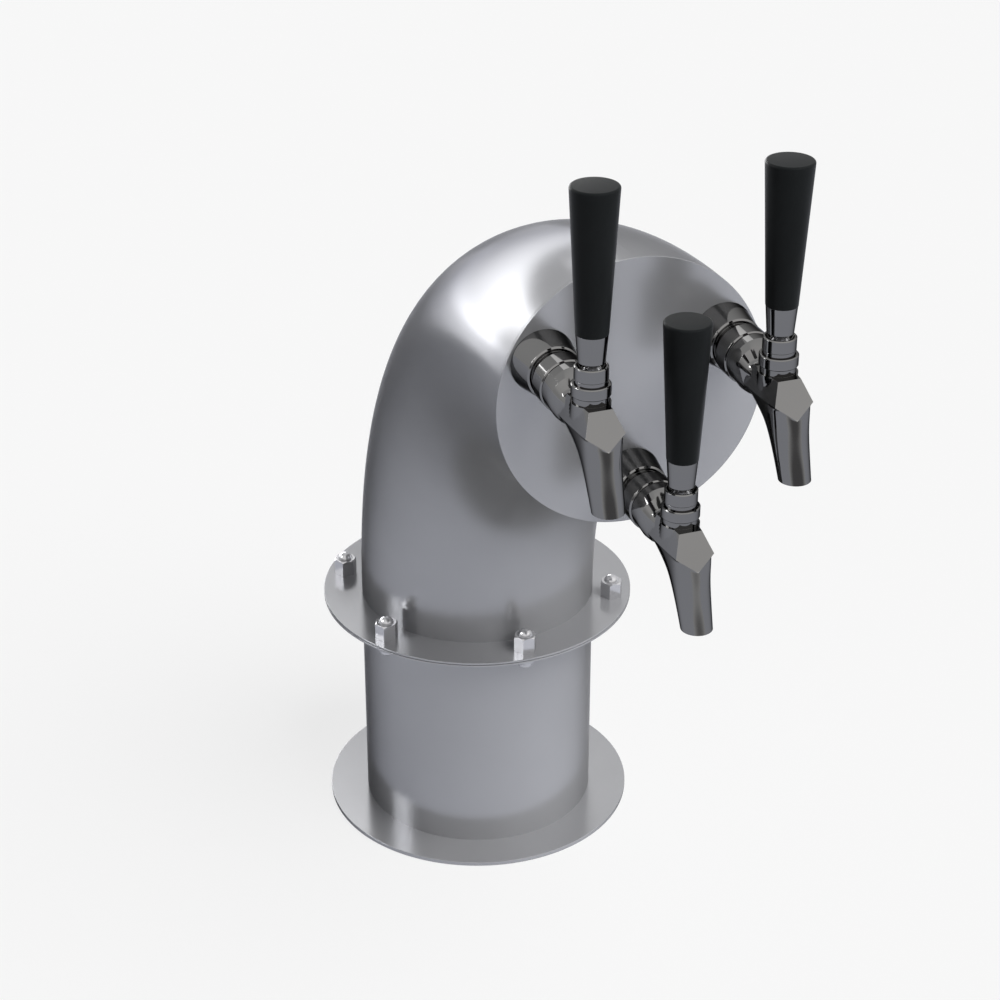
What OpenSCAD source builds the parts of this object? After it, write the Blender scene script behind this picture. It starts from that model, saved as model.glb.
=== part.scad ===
// Draft beer tower: a bolted pipe column with a swept elbow, a round face
// plate and three forward-sealing taps.
//
// Frame: the origin is the centre of the base flange's underside, +Z is up,
// and the face plate and the taps look along -Y. Millimetres.
//
// Inside a tap, "s" is the distance forward of the face plate's front, and z
// is measured from the shank's axis.

/* [Column] */
// Outer diameter of the column and elbow pipe
pipe_od = 168.3; // [160:0.1:172]
// Wall of the column and elbow pipe
pipe_wall = 2.8; // [2:0.1:3.4]
// Length of the straight column pipe
riser_len = 165.4; // [120:0.1:260]
// Straight foot of the elbow above its flange
elbow_foot = 4.5; // [2:0.5:20]
// Radius of the elbow's centreline
bend_radius = 267.6; // [255:0.1:290]
// Thickness of the round face plate
plate_t = 2; // [1.5:0.5:3]

/* [Flanges] */
// Outer diameter of the base flange and of the joint flanges
flange_od = 223.4; // [204:0.2:250]
// Thickness of the base flange
base_flange_t = 3; // [2:0.5:8]
// Thickness of each of the two joint flanges
joint_flange_t = 1.5; // [1.2:0.1:2]
// Thickness of the gasket between the joint flanges
gasket_t = 0.4; // [0.3:0.1:1]
// How far the gasket's rim stays inside the stud holes
gasket_gap = 4.3; // [2:0.1:8]

/* [Flange fasteners] */
// Number of studs round the joint
stud_count = 6; // [3:1:8]
// How far the circle of studs lies outside the middle of the flanges' free width
stud_out = 0.6; // [-1:0.1:2]
// Diameter of a stud
stud_d = 9.5; // [8:0.5:10]
// How far a stud hangs below the joint
stud_below = 10; // [7:0.5:14]
// Width of the nuts across their flats
nut_af = 14.3; // [13:0.1:15]
// Height of the domed nuts' hexagon
dome_nut_h = 12; // [10:0.5:14]
// Radius of the dome on a domed nut
dome_r = 5.4; // [5.2:0.1:6]
// How far the dome stands above its hexagon
dome_rise = 4.2; // [3:0.1:5]
// Height of the thin nuts under the joint
jam_nut_h = 5.5; // [4:0.5:6.5]
// Bevel on the corners of the nuts
nut_bevel = 1.2; // [0.6:0.1:1.6]

/* [Tap places] */
// Distance between the axes of the upper pair of taps
tap_spread = 112.3; // [98:0.1:126]
// Gap between the upper pair's washers and the inside of the pipe
pair_gap = 2.5; // [1.5:0.1:4]
// Depth of the lower tap below the plate's centre
lower_drop = 55.4; // [40:0.1:60]

/* [Shank] */
// Radius of the shank's threaded length
shank_r = 11.1; // [10.5:0.1:11.4]
// Step in radius between the threaded length and the front of the shank
shank_step = 0.5; // [0.3:0.1:0.8]
// Radius of the shank's front flange
shank_flange_r = 13; // [12.6:0.1:13.2]
// Thickness of the shank's front flange
shank_flange_t = 2.4; // [1.5:0.1:3]
// How far the shank reaches behind the face plate
shank_tail = 24; // [20:0.5:26]
// Radius of the passage through the shank and into the tap
passage_r = 5; // [3.5:0.1:5.2]
// Length of the cone of the collar
collar_len = 20; // [14:0.5:22]
// Radius of the collar at the face plate
collar_back_r = 19.5; // [18:0.1:20]
// Radius of the collar at the front of its cone
collar_front_r = 16.5; // [15.5:0.1:17]
// Length of the collar's narrow nose
collar_nose_len = 5.4; // [2:0.1:6]
// Radius of the collar's narrow nose
collar_nose_r = 14; // [13:0.1:14.5]
// How far from the plate the shank's step bears inside the collar
collar_seat = 10; // [6:0.5:11]
// Width of the locknut across its flats
locknut_af = 28.6; // [26:0.1:29]
// Thickness of the locknut
locknut_t = 7; // [5:0.5:8]
// Radius of the washer behind the face plate
washer_r = 15.5; // [14:0.1:16]
// Thickness of that washer
washer_t = 1.6; // [1:0.1:2]

/* [Coupling nut] */
// Outer radius of the coupling nut
coupling_r = 16.3; // [16:0.1:17]
// Length of the coupling nut
coupling_len = 13; // [11:0.5:14]
// Thickness of the lip at the back of the coupling nut
coupling_lip = 2.6; // [2:0.1:3]
// Thickness of the washer between the shank and the tap
inlet_washer_t = 1.3; // [1:0.1:2]

/* [Tap body] */
// Radius of the round barrel
barrel_r = 15.6; // [15:0.1:16]
// Distance of the barrel's front end from the plate
barrel_s = 46; // [42:0.5:48]
// Distance of the handle's axis from the plate
handle_s = 72.1; // [71:0.1:74]
// Half of the width between the flat sides
side_half = 12.6; // [12:0.1:13.5]
// Height of the flat deck under the bonnet
deck_z = 7; // [6:0.5:7.5]
// Depth of the flat sides below the shank's axis
side_drop = 11; // [9:0.5:12]
// Radius of the round boss under the bonnet
boss_r = 11.3; // [10.8:0.1:12.4]
// Radius of the shoulder on which the bonnet rests
shoulder_r = 10.3; // [9.8:0.1:10.6]
// Radius of the neck that takes the bonnet
neck_r = 9.3; // [9.2:0.1:9.5]
// Height of the neck's top
neck_z = 14; // [13:0.1:14.5]
// Depth of the spout's mouth below the shank's axis
mouth_drop = 47.7; // [44:0.1:56]
// Distance of the mouth's centre from the plate
mouth_s = 99.5; // [97:0.1:101]
// Outer radius of the spout at its mouth
mouth_r = 9.3; // [8.5:0.1:10]
// Radius of the bore of the spout
spout_bore_r = 5; // [3.5:0.1:5.2]
// Lean of the spout's bore from the vertical
spout_lean = 16; // [14:0.5:17]

/* [Badge face] */
// Half of the width of the badge face's top edge
badge_top_half = 7; // [6:0.1:8]
// Half of the width of the badge face at its side corners
badge_half = 11.7; // [11:0.1:12.2]
// Height of the side corners
badge_corner_z = -4.8; // [-6:0.1:-3]
// Height of the lower tip
badge_tip_z = -12.8; // [-14:0.1:-11]
// Distance of the top edge from the plate
badge_top_s = 86.5; // [86:0.1:88]
// Lean of the badge face from the vertical
badge_lean = 31.6; // [28:0.1:33]

/* [Bonnet and lever] */
// Outer radius of the bonnet
bonnet_r = 11.2; // [10.8:0.1:11.8]
// Height of the bonnet's lower face
bonnet_z = 10.8; // [9:0.1:11]
// Height of the bonnet's upper face
bonnet_top_z = 17.8; // [16.5:0.1:18]
// Outer radius of the cap above the bonnet
cap_r = 9.6; // [9.5:0.1:9.7]
// Height of the cap's lower shoulder
cap_z = 20.2; // [18.6:0.1:20.4]
// Height of the cap's top
cap_top_z = 28.2; // [27.6:0.1:28.2]
// Height of the lever's pivot
pivot_z = 19.5; // [19.2:0.1:20]
// Radius of the lever's pivot ball
ball_r = 8; // [7.8:0.1:8]
// Radius of the lever's neck above the ball
lever_neck_r = 3.5; // [3:0.1:3.6]
// Radius of the thread at the lever's top
lever_thread_r = 4.75; // [4:0.05:5]
// Length of the thread at the lever's top
lever_thread_len = 11; // [8:0.5:12]
// Radius of the lever's rod below the ball
lever_rod_r = 2; // [1.6:0.1:2.2]
// Radius of the ball at the lever's lower tip
lever_tip_r = 3; // [2.6:0.1:3.2]
// Length of the lever from its pivot to its lower tip
lever_arm = 21; // [20:0.1:21.4]

/* [Handle] */
// Height of the ferrule's lower end
ferrule_z = 30.2; // [30.2:0.1:34]
// Radius of the ferrule's lower end
ferrule_low_r = 7.7; // [7.6:0.1:8.4]
// Radius of the hollow in the ferrule's underside
ferrule_hollow_r = 7; // [7:0.1:7.2]
// Depth of that hollow
ferrule_hollow = 1.5; // [1.5:0.1:2]
// Radius of the ferrule's upper end
ferrule_top_r = 9; // [8.6:0.1:9.2]
// Radius of the ferrule's spigot inside the handle
spigot_r = 4.6; // [4:0.1:5.5]
// Length of that spigot
spigot_len = 16; // [10:0.5:24]
// Height of the handle's lower end
handle_z = 46.4; // [45:0.1:50]
// Height of the handle's top
handle_top_z = 129.8; // [110:0.1:160]
// Radius of the handle's lower end
handle_low_r = 9.2; // [8.6:0.1:10]
// Radius of the handle's top
handle_top_r = 13.7; // [12:0.1:15]
// Radius of the rounded edge round the handle's top
handle_edge_r = 1.4; // [0.8:0.1:2.5]

/* [Valve] */
// Depth of the valve chamber's axis below the shank's axis
chamber_drop = 2; // [1.5:0.1:2.2]
// Radius of the valve chamber
chamber_r = 6.3; // [6:0.1:6.5]
// Distance of the chamber's back end from the plate
chamber_back_s = 49; // [46:0.1:49.2]
// Distance of the valve seat from the plate
seat_s = 81.5; // [81:0.1:82]
// Radius of the port through the valve seat
port_r = 4; // [3.6:0.1:4.2]
// Radius of the pocket in which the lever's rod swings
pocket_r = 9.3; // [9:0.1:9.4]
// Distance of the plunger's back end from the plate
plunger_back_s = 59.5; // [59:0.1:62]
// Half of the length of the plunger's slot
slot_half = 3.45; // [3.4:0.05:3.6]
// Thickness of the plunger's front seal
plunger_seal_t = 1.5; // [1:0.1:2]

/* [Beer line] */
// Outer radius of the beer line
line_r = 5.55; // [5:0.05:6]
// Radius of the beer line's bore
line_bore_r = 2.4; // [2:0.1:2.6]
// Radius of the barbed ends inside the line
barb_r = 3.2; // [3:0.1:3.6]
// Length of the barbed ends inside the line
barb_len = 20; // [16:0.5:24]
// Straight run of the line behind the plate
line_run = 64; // [60:1:70]
// Where the upper pair's lines come down, along Y
pair_line_y = 0; // [-8:1:6]
// Where the lower tap's line comes down, along Y
lower_line_y = -30; // [-40:1:-24]
// Height at which the lines end
line_end_z = 42; // [36:1:60]
// Length of the free stub of an end fitting
stub_len = 22; // [16:0.5:28]
// Width of a hose clamp
clamp_w = 7; // [5:0.5:8]
// Thickness of a hose clamp's band
clamp_t = 0.8; // [0.5:0.1:1]

/* [Tailpiece] */
// Width of the tail nut across its flats
tail_nut_af = 26; // [25:0.1:26.4]
// Length of shank thread inside the tail nut
tail_grip = 7; // [5:0.5:9]
// Thickness of the tail washer
tail_washer_t = 1.4; // [1:0.1:2]
// Thickness of the tailpiece's flange
tail_flange_t = 2.4; // [1.5:0.1:3]
// Thickness of the tail nut's back wall
tail_wall = 2.4; // [2:0.1:3]
// Radius of the tailpiece where it leaves the tail nut
tail_body_r = 6; // [5:0.1:7]

/* [Fits] */
// Gap round each thread and each fixed shank
thread_fit = 0.05; // [0.02:0.01:0.1]
// Running gap round the lever's ball and the plunger
running_fit = 0.08; // [0.05:0.01:0.1]
// Gap round the studs in the flanges
stud_fit = 0.3; // [0.1:0.05:0.5]
// Gap between soft seals and what they bear on
seal_fit = 0.1; // [0.05:0.05:0.2]

/* [Hidden] */
TAP_NAMES = ["left", "right", "lower"];
TAP_PIECES = [
  "collar", "shank", "coupling_nut", "faucet_body", "bonnet", "lever_cap", "lever", "ferrule", "handle",
  "valve_plunger", "plunger_seal", "tailpiece", "beer_line"
];

$fn = 96;
// Sides of the round sections that are blended into the tap's body
blend_fn = 48;
// Thickness of a blended section
skin = 0.02;
// Overrun of a cut past the face that it opens
over = 1;

steel = [0.64, 0.65, 0.67];
bright_steel = [0.8, 0.8, 0.82];
chrome = [0.42, 0.42, 0.44];
black = [0.13, 0.14, 0.15];
rubber_black = [0.08, 0.08, 0.08];
clear_vinyl = [0.85, 0.87, 0.84];

// Column heights, from the table upwards
pipe_r = pipe_od / 2;
pipe_bore_r = pipe_r - pipe_wall;
riser_z = base_flange_t;
riser_flange_z = riser_z + riser_len;
gasket_z = riser_flange_z + joint_flange_t;
elbow_flange_z = gasket_z + gasket_t;
elbow_z = elbow_flange_z + joint_flange_t;
stud_circle_r = (flange_od / 2 + pipe_r) / 2 + stud_out;
stud_hole_r = stud_d / 2 + stud_fit;
gasket_r = stud_circle_r - stud_hole_r - gasket_gap;
dome_hole_h = dome_nut_h - 1;
stud_end_gap = 0.5;
bend_z = elbow_z + elbow_foot;
plate_z = bend_z + bend_radius;
plate_back_y = -bend_radius;
plate_front_y = plate_back_y - plate_t;

// Tap places: name, x, z of the shank's axis, and y where its line comes down
pair_circle_r = pipe_bore_r - washer_r - pair_gap;
pair_rise = sqrt(pow(pair_circle_r, 2) - pow(tap_spread / 2, 2));
TAPS = [
  [TAP_NAMES[0], -tap_spread / 2, plate_z + pair_rise, pair_line_y],
  [TAP_NAMES[1], tap_spread / 2, plate_z + pair_rise, pair_line_y],
  [TAP_NAMES[2], 0, plate_z - lower_drop, lower_line_y]
];
function tap_name(tap) = tap[0];
function tap_at(tap) = [tap[1], plate_front_y, tap[2]];

// Play round the shank's front flange inside the coupling nut
flange_play = 0.5;

// Stations along a tap, as distances forward of the plate's front
collar_end_s = collar_len + collar_nose_len;
coupling_s = collar_end_s + seal_fit;
coupling_end_s = coupling_s + coupling_len;
shank_flange_s = coupling_s + coupling_lip;
shank_front_s = shank_flange_s + shank_flange_t;
inlet_s = shank_front_s + inlet_washer_t;
barrel_back_s = coupling_end_s + seal_fit;
shank_front_r = shank_r + shank_step;
body_thread_r = shank_flange_r + flange_play;

// Stations behind the plate, as distances back from the plate's front
washer_d = plate_t;
locknut_d = washer_d + washer_t;
shank_end_d = plate_t + shank_tail;
tail_nut_d = shank_end_d - tail_grip;
tail_flange_d = shank_end_d + tail_washer_t;
tail_wall_d = tail_flange_d + tail_flange_t;
tail_nut_end_d = tail_wall_d + tail_wall;
tail_reach = 2;
hose_gap = 1;
barb_d = tail_nut_end_d + tail_reach;
line_d = barb_d + hose_gap;

// Tap body: the flat sides, the belly under them, and the badge face's corners
side_lead = 1;
side_back_s = handle_s - side_half + side_lead;
side_front_s = handle_s;
side_chamfer = 3.6;
belly_drop = 6;
belly_back_drop = 3.5;
belly_lead = 4;
cheek_step = 1.2;
cheek_inset = 0.3;
cheek_lead = 4;
badge_corner_s = badge_top_s + (deck_z - badge_corner_z) * tan(badge_lean);
badge_tip_s = badge_top_s + (deck_z - badge_tip_z) * tan(badge_lean);
cheek_top_half = badge_top_half - cheek_step;

// Spout: sections below the badge face and above the mouth
spout_upper_z = -22;
spout_upper_r = 10.8;
spout_upper_s = 89.6;
spout_heel_r = 5;
spout_heel_s = 77;
spout_keel = 2.6;
spout_lower_z = -35;
spout_lower_r = 10;
spout_lower_back = 4.8;
spout_tail_r = 6;
spout_tail_back = 10.5;

// Valve: the lever's tip, the plunger and the spout's bore
tip_z = pivot_z - lever_arm;
seal_land = 0.4;
seal_bore_r = port_r - seal_land;
plunger_r = chamber_r - running_fit;
plunger_head_s = seat_s - seal_fit - plunger_seal_t;
slot_play = 0.3;
slot_side_play = 0.2;
slot_deck_z = tip_z + lever_tip_r + slot_play;
spout_bore_top_z = -6;
spout_bore_rise = mouth_drop + spout_bore_top_z;
pocket_top_z = 4.4;
neck_seat_z = 12.4;
neck_seat_r = 6.2;
socket_r = ball_r + running_fit;
cap_hold_z = pivot_z + 4.8;
cap_hold_r = socket_r - 1.6;
cap_mouth_r = socket_r + 0.2;
thread_z = ferrule_z + ferrule_hollow;

// Beer line: bore of its barbed ends, and how far each clamp sits from the line's end
barb_bore_r = 2;
clamp_in = 5;
clamp_ear = 2;
clamp_ear_half = 1.6;

// Hexagon by its width across flats, standing on z = 0
module hexagon_prism(af, h) {
  cylinder(r = af / 2 / cos(30), h = h, $fn = 6);
}

// Round piece about the shank's axis, from points [radius, s]
module turned(points) {
  rotate([90, 0, 0])
    rotate_extrude()
      polygon(points);
}

// Round piece about the shank's axis behind the plate, from points [radius, distance back]
module turned_back(points) {
  rotate([-90, 0, 0])
    rotate_extrude()
      polygon(points);
}

// Round piece about the handle's axis, from points [radius, z]
module stacked(points) {
  translate([0, -handle_s, 0])
    rotate_extrude()
      polygon(points);
}

// Plain cylinder about an axis parallel to the shank's, z_off above it
module forward_rod(r, s0, s1, z_off = 0) {
  translate([0, -s0, z_off])
    rotate([90, 0, 0])
      cylinder(r = r, h = s1 - s0);
}

module at_tap(tap) {
  translate(tap_at(tap))
    children();
}

module at_studs() {
  for (i = [0:stud_count - 1])
    rotate([0, 0, -90 + i * 360 / stud_count])
      translate([stud_circle_r, 0, 0])
        children();
}

// Points on an arc in a plane, from angle a0 to a1 in n steps
function arc(centre, r, a0, a1, n) =
  [for (i = [0:n]) centre + r * [cos(a0 + (a1 - a0) * i / n), sin(a0 + (a1 - a0) * i / n)]];

// Column

module flange_ring(z, t) {
  translate([0, 0, z])
    difference() {
      cylinder(d = flange_od, h = t);
      translate([0, 0, -over])
        cylinder(r = pipe_bore_r, h = t + 2 * over);
    }
}

module drilled_flange(z) {
  difference() {
    flange_ring(z, joint_flange_t);
    at_studs()
      translate([0, 0, z - over])
        cylinder(r = stud_hole_r, h = joint_flange_t + 2 * over);
  }
}

module base_flange() {
  color(steel)
    flange_ring(0, base_flange_t);
}

module riser_tube() {
  color(steel)
    translate([0, 0, riser_z])
      difference() {
        cylinder(r = pipe_r, h = riser_len);
        translate([0, 0, -over])
          cylinder(r = pipe_bore_r, h = riser_len + 2 * over);
      }
}

module riser_top_flange() {
  color(steel)
    drilled_flange(riser_flange_z);
}

module flange_gasket() {
  color(rubber_black)
    translate([0, 0, gasket_z])
      difference() {
        cylinder(r = gasket_r, h = gasket_t);
        translate([0, 0, -over])
          cylinder(r = pipe_bore_r, h = gasket_t + 2 * over);
      }
}

module elbow_flange() {
  color(steel)
    drilled_flange(elbow_flange_z);
}

module elbow_shell() {
  color(steel)
    union() {
      translate([0, 0, elbow_z])
        difference() {
          cylinder(r = pipe_r, h = elbow_foot);
          translate([0, 0, -over])
            cylinder(r = pipe_bore_r, h = elbow_foot + 2 * over);
        }
      translate([0, -bend_radius, bend_z])
        rotate([90, 0, 90])
          rotate_extrude(angle = 90)
            translate([bend_radius, 0])
              difference() {
                circle(r = pipe_r);
                circle(r = pipe_bore_r);
              }
    }
}

module face_plate() {
  color(steel)
    difference() {
      translate([0, plate_back_y, plate_z])
        rotate([90, 0, 0])
          cylinder(r = pipe_r, h = plate_t);
      for (tap = TAPS)
        at_tap(tap)
          forward_rod(shank_r + thread_fit, -plate_t - over, over);
    }
}

// Joint fasteners

module flange_studs() {
  tip = 1;
  r = stud_d / 2;
  low = riser_flange_z - stud_below;
  high = elbow_z + dome_hole_h - stud_end_gap;
  color(bright_steel)
    at_studs()
      rotate_extrude()
        polygon([[0, low], [r - tip, low], [r, low + tip], [r, high - tip], [r - tip, high], [0, high]]);
}

// Hexagon with a flat towards the column and its upper corners turned off, with a threaded hole
module nut_blank(h, hole_h) {
  corner_r = nut_af / 2 / cos(30);
  difference() {
    intersection() {
      rotate([0, 0, 30])
        hexagon_prism(nut_af, h);
      cylinder(r1 = corner_r + h - nut_bevel, r2 = corner_r - nut_bevel, h = h);
    }
    translate([0, 0, -over])
      cylinder(r = stud_d / 2 + thread_fit, h = hole_h + over);
  }
}

module acorn_nuts() {
  color(bright_steel)
    at_studs()
      translate([0, 0, elbow_z])
        difference() {
          union() {
            nut_blank(dome_nut_h, 0);
            translate([0, 0, dome_nut_h + dome_rise - dome_r])
              sphere(r = dome_r);
          }
          translate([0, 0, -over])
            cylinder(r = stud_d / 2 + thread_fit, h = dome_hole_h + over);
        }
}

module jam_nuts() {
  color(bright_steel)
    at_studs()
      translate([0, 0, riser_flange_z])
        mirror([0, 0, 1])
          nut_blank(jam_nut_h, jam_nut_h + over);
}

// Shank and what clamps it to the plate

module collar() {
  edge = 0.6;
  rim = 0.95;
  color(chrome)
    turned([
      [shank_r + thread_fit, 0],
      [collar_back_r - edge, 0],
      [collar_back_r, edge],
      [collar_front_r, collar_len - rim],
      [collar_front_r - rim, collar_len],
      [collar_nose_r, collar_len],
      [collar_nose_r, collar_end_s],
      [shank_front_r + thread_fit, collar_end_s],
      [shank_front_r + thread_fit, collar_seat],
      [shank_r + thread_fit, collar_seat]
    ]);
}

module shank() {
  tip = 0.8;
  color(bright_steel)
    turned([
      [passage_r, -shank_end_d],
      [shank_r - tip, -shank_end_d],
      [shank_r, -shank_end_d + tip],
      [shank_r, collar_seat],
      [shank_front_r, collar_seat],
      [shank_front_r, shank_flange_s],
      [shank_flange_r, shank_flange_s],
      [shank_flange_r, shank_front_s],
      [passage_r, shank_front_s]
    ]);
}

module shank_washers() {
  color(bright_steel)
    for (tap = TAPS)
      at_tap(tap)
        turned_back([
          [shank_r + thread_fit, washer_d],
          [washer_r, washer_d],
          [washer_r, locknut_d],
          [shank_r + thread_fit, locknut_d]
        ]);
}

module shank_locknuts() {
  color(bright_steel)
    for (tap = TAPS)
      at_tap(tap)
        translate([0, locknut_d, 0])
          rotate([-90, 0, 0])
            difference() {
              hexagon_prism(locknut_af, locknut_t);
              translate([0, 0, -over])
                cylinder(r = shank_r + thread_fit, h = locknut_t + 2 * over);
            }
}

module coupling_nut() {
  edge = 0.8;
  color(chrome)
    turned([
      [shank_front_r + thread_fit, coupling_s],
      [coupling_r - edge, coupling_s],
      [coupling_r, coupling_s + edge],
      [coupling_r, coupling_end_s - edge],
      [coupling_r - edge, coupling_end_s],
      [body_thread_r + thread_fit, coupling_end_s],
      [body_thread_r + thread_fit, shank_flange_s],
      [shank_front_r + thread_fit, shank_flange_s]
    ]);
}

module inlet_washers() {
  color(rubber_black)
    for (tap = TAPS)
      at_tap(tap)
        turned([
          [passage_r, shank_front_s],
          [shank_flange_r - flange_play, shank_front_s],
          [shank_flange_r - flange_play, inlet_s],
          [passage_r, inlet_s]
        ]);
}

// Tap body

// Small block that marks one corner of a blended form, from [x, s, z]
module corner(x, s, z) {
  translate([x, -s, z])
    cube(skin, center = true);
}

// The same corner on both sides
module corner_pair(x, s, z) {
  for (side = [-1, 1])
    corner(side * x, s, z);
}

// Thin round plate lying flat at height z
module flat_disc(r, s, z) {
  translate([0, -s, z])
    cylinder(r = r, h = skin, $fn = blend_fn);
}

// Upper section of the spout, below the badge face
module spout_upper_section() {
  flat_disc(spout_upper_r, spout_upper_s, spout_upper_z);
  flat_disc(spout_heel_r, spout_heel_s, spout_upper_z);
  corner(0, badge_tip_s + spout_keel, spout_upper_z);
}

// Lower section of the spout, above the mouth
module spout_lower_section() {
  flat_disc(spout_lower_r, mouth_s - spout_lower_back, spout_lower_z);
  flat_disc(spout_tail_r, mouth_s - spout_tail_back, spout_lower_z);
}

module body_blend() {
  // Barrel to the flat sides
  hull() {
    forward_rod(barrel_r, barrel_s - 1, barrel_s, $fn = blend_fn);
    corner_pair(side_half - side_chamfer, side_back_s - side_chamfer, deck_z);
    corner_pair(side_half - side_chamfer, side_back_s - side_chamfer, -side_drop);
    corner_pair(side_half, side_back_s, deck_z);
    corner_pair(side_half, side_back_s, -side_drop);
    corner_pair(side_half, side_front_s, deck_z);
    corner_pair(side_half, side_front_s, -side_drop);
    corner_pair(side_half / 2, side_front_s - belly_lead, -side_drop - belly_drop);
    corner_pair(side_half / 2, side_back_s, -side_drop - belly_back_drop);
  }
  // Cheeks from the flat sides to the badge face
  hull() {
    corner_pair(badge_top_half, badge_top_s, deck_z);
    corner_pair(badge_half, badge_corner_s, badge_corner_z);
    corner(0, badge_tip_s, badge_tip_z);
    corner_pair(cheek_top_half, side_back_s + cheek_lead, deck_z);
    corner_pair(side_half - cheek_inset, side_back_s + cheek_lead, -side_drop);
    corner_pair(side_half - cheek_inset, side_front_s, -side_drop);
  }
  // Root of the spout
  hull() {
    corner_pair(badge_half, badge_corner_s, badge_corner_z);
    corner(0, badge_tip_s, badge_tip_z);
    corner_pair(side_half - cheek_inset, side_front_s - belly_lead, -side_drop);
    corner_pair(side_half / 2, side_front_s - belly_lead, -side_drop - belly_drop);
    spout_upper_section();
  }
  hull() {
    spout_upper_section();
    spout_lower_section();
  }
  hull() {
    spout_lower_section();
    flat_disc(mouth_r, mouth_s, -mouth_drop);
  }
}

module body_passages() {
  port_end_s = badge_top_s + 1.5;
  bore_overrun = 5;
  // Way in from the shank, and the valve chamber
  forward_rod(passage_r, inlet_s - over, chamber_back_s + over);
  forward_rod(chamber_r, chamber_back_s, seat_s, -chamber_drop);
  forward_rod(port_r, seat_s - over, port_end_s, -chamber_drop);
  // Pocket and mouth in which the lever's rod swings
  translate([0, -handle_s, -chamber_drop])
    cylinder(r = pocket_r, h = chamber_drop + pocket_top_z);
  stacked([
    [0, pocket_top_z - skin],
    [pocket_r, pocket_top_z - skin],
    [pocket_r, pocket_top_z],
    [neck_seat_r, neck_seat_z],
    [neck_seat_r, neck_z + over],
    [0, neck_z + over]
  ]);
  stacked([[0, neck_seat_z], [socket_r, neck_seat_z], [socket_r, neck_z + over], [0, neck_z + over]]);
  // Bore of the spout, with a round inner end
  translate([0, -mouth_s, -mouth_drop])
    rotate([-spout_lean, 0, 0])
      translate([0, 0, -bore_overrun])
        cylinder(r = spout_bore_r, h = spout_bore_rise / cos(spout_lean) + bore_overrun);
  translate([0, -mouth_s + spout_bore_rise * tan(spout_lean), spout_bore_top_z])
    sphere(r = spout_bore_r);
}

module faucet_body() {
  barrel_edge = 0.6;
  color(chrome)
    difference() {
      union() {
        forward_rod(body_thread_r, inlet_s, barrel_back_s + over);
        turned([
          [0, barrel_back_s],
          [barrel_r - barrel_edge, barrel_back_s],
          [barrel_r, barrel_back_s + barrel_edge],
          [barrel_r, barrel_s],
          [0, barrel_s]
        ]);
        translate([0, -handle_s, -side_drop])
          cylinder(r = boss_r, h = deck_z + side_drop);
        translate([0, -handle_s, 0])
          cylinder(r = shoulder_r, h = bonnet_z - thread_fit);
        translate([0, -handle_s, 0])
          cylinder(r = neck_r, h = neck_z);
        body_blend();
      }
      body_passages();
    }
}

// Bonnet, lever and handle

module bonnet() {
  edge = 0.6;
  bore = neck_r + thread_fit;
  color(chrome)
    stacked([
      [bore, bonnet_z],
      [bonnet_r - edge, bonnet_z],
      [bonnet_r, bonnet_z + edge],
      [bonnet_r, bonnet_top_z - edge],
      [bonnet_r - edge, bonnet_top_z],
      [bore, bonnet_top_z]
    ]);
}

module lever_cap() {
  low_edge = 0.4;
  top_edge = 0.6;
  color(chrome)
    difference() {
      stacked([
        [0, neck_z],
        [neck_r, neck_z],
        [neck_r, cap_z],
        [cap_r - low_edge, cap_z],
        [cap_r, cap_z + low_edge],
        [cap_r, cap_top_z - top_edge],
        [cap_r - top_edge, cap_top_z],
        [0, cap_top_z]
      ]);
      translate([0, -handle_s, pivot_z])
        sphere(r = socket_r);
      // Bore that lets the ball in from below, and the flared way out above it
      stacked([[0, neck_z - over], [socket_r, neck_z - over], [socket_r, pivot_z], [0, pivot_z]]);
      stacked([
        [0, cap_hold_z],
        [cap_hold_r, cap_hold_z],
        [cap_mouth_r, cap_top_z + skin],
        [0, cap_top_z + skin]
      ]);
    }
}

module pivot_seals() {
  outer_r = socket_r - seal_fit;
  touch_z = neck_z - seal_fit;
  inner_r = sqrt(pow(ball_r, 2) - pow(pivot_z - touch_z, 2)) + seal_fit;
  color(rubber_black)
    for (tap = TAPS)
      at_tap(tap)
        stacked([[inner_r, neck_seat_z], [outer_r, neck_seat_z], [outer_r, touch_z], [inner_r, touch_z]]);
}

module lever() {
  thread_lead = 0.8;
  thread_tip = 1;
  color(bright_steel)
    union() {
      stacked([
        [0, pivot_z],
        [lever_neck_r, pivot_z],
        [lever_neck_r, thread_z - thread_lead],
        [lever_thread_r, thread_z],
        [lever_thread_r, thread_z + lever_thread_len - thread_tip],
        [lever_thread_r - thread_tip, thread_z + lever_thread_len],
        [0, thread_z + lever_thread_len]
      ]);
      translate([0, -handle_s, pivot_z])
        sphere(r = ball_r);
      translate([0, -handle_s, tip_z])
        cylinder(r = lever_rod_r, h = lever_arm);
      translate([0, -handle_s, tip_z])
        sphere(r = lever_tip_r);
    }
}

// Gap beyond the end of a screw or spigot in its hole
end_gap = 0.3;

module ferrule() {
  hole_r = lever_thread_r + thread_fit;
  hole_z = thread_z + lever_thread_len + end_gap;
  edge = 0.3;
  color(chrome)
    stacked([
      [hole_r, thread_z],
      [ferrule_hollow_r, thread_z],
      [ferrule_hollow_r, ferrule_z],
      [ferrule_low_r - edge, ferrule_z],
      [ferrule_low_r, ferrule_z + edge],
      [ferrule_top_r, handle_z],
      [spigot_r, handle_z],
      [spigot_r, handle_z + spigot_len],
      [0, handle_z + spigot_len],
      [0, hole_z],
      [hole_r, hole_z]
    ]);
}

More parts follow.
